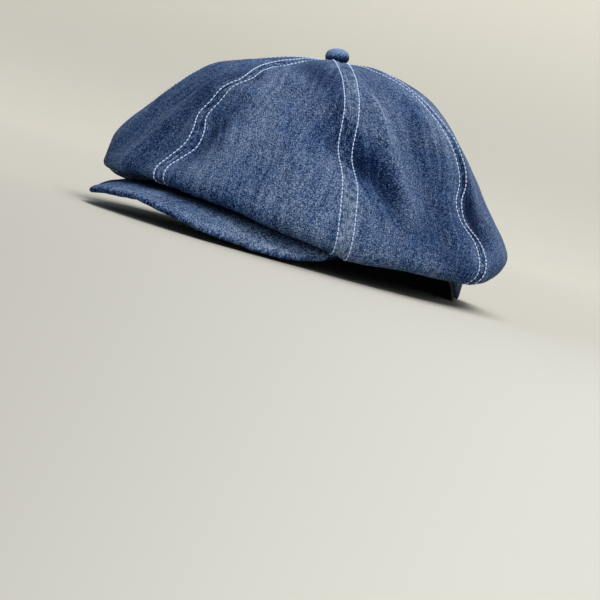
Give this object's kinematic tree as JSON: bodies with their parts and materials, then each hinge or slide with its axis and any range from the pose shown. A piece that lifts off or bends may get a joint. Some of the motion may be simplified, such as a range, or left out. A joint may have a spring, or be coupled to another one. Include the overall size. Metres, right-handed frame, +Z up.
{
  "type": "peaked cap",
  "caption": "soft full-crowned cap of indigo denim panels with contrast topstitching, a cloth-covered top button, a headband and a short peak",
  "frame": {"origin": "middle of the cap's footprint on the surface that it rests on", "axes": "+Z up out of the crown, -Y forward along the peak, +X towards the wearer's left"},
  "size_m": [0.2466, 0.2638, 0.1225],
  "materials": {
    "denim": "washed indigo twill",
    "button_denim": "indigo twill gathered over a button",
    "band_cloth": "dark plain cotton"
  },
  "bodies": {
    "root": {"crown_panel_1": "denim", "crown_panel_2": "denim", "crown_panel_3": "denim", "crown_panel_4": "denim", "crown_panel_5": "denim", "crown_panel_6": "denim", "crown_panel_7": "denim", "crown_panel_8": "denim", "crown_button": "button_denim", "headband": "denim", "inner_band": "band_cloth", "peak_top": "denim", "peak_under": "denim"}
  },
  "joints": []
}
